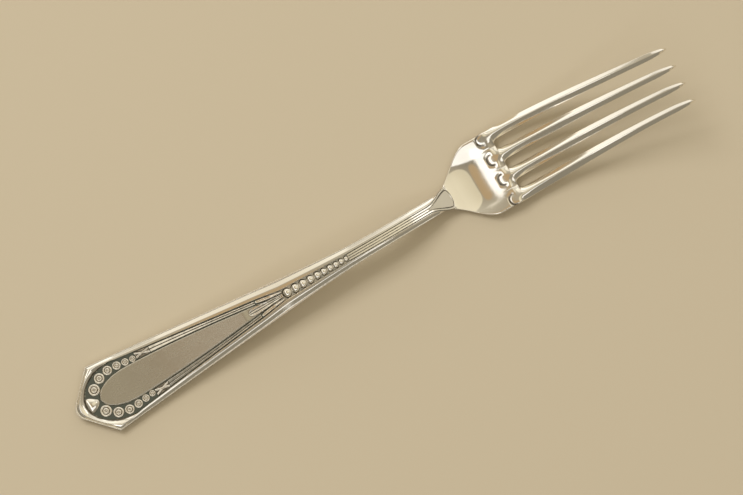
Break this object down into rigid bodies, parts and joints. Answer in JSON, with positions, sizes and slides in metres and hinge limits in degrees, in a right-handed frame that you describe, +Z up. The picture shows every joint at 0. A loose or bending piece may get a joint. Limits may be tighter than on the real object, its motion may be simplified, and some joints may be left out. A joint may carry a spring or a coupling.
{
  "type": "dessert fork",
  "caption": "Silver-plated dessert fork with long tapering tines, a dished palm, an arched reeded neck and a pointed handle with a bead and reed border around a plain panel.",
  "frame": {"origin": "on the table under the middle of the fork's box, with the fork lying on its back", "axes": "+X from the handle's end to the tine tips, +Y to the left looking that way, +Z up"},
  "size_m": [0.1806, 0.021, 0.0182],
  "materials": {
    "polished_silver": "worn polish",
    "satin_silver": "fine-scratched satin",
    "toned_silver": "darkened sunk ground"
  },
  "bodies": {
    "root": {"palm": "polished_silver", "tine_1": "polished_silver", "tine_2": "polished_silver", "tine_3": "polished_silver", "tine_4": "polished_silver", "neck": "polished_silver", "stem": "polished_silver", "handle_plate": "toned_silver", "border_end": "polished_silver", "border_left": "polished_silver", "border_right": "polished_silver", "centre_panel": "satin_silver", "keystone_leaf": "polished_silver", "rosettes_left": "polished_silver", "rosettes_right": "polished_silver", "ribbon_left": "polished_silver", "ribbon_right": "polished_silver", "reeds_left": "polished_silver", "reeds_right": "polished_silver", "middle_petal": "polished_silver", "side_petal_left": "polished_silver", "side_petal_right": "polished_silver", "stem_beads": "polished_silver", "neck_tongue": "polished_silver", "neck_reed_left": "polished_silver", "neck_reed_right": "polished_silver"}
  },
  "joints": []
}
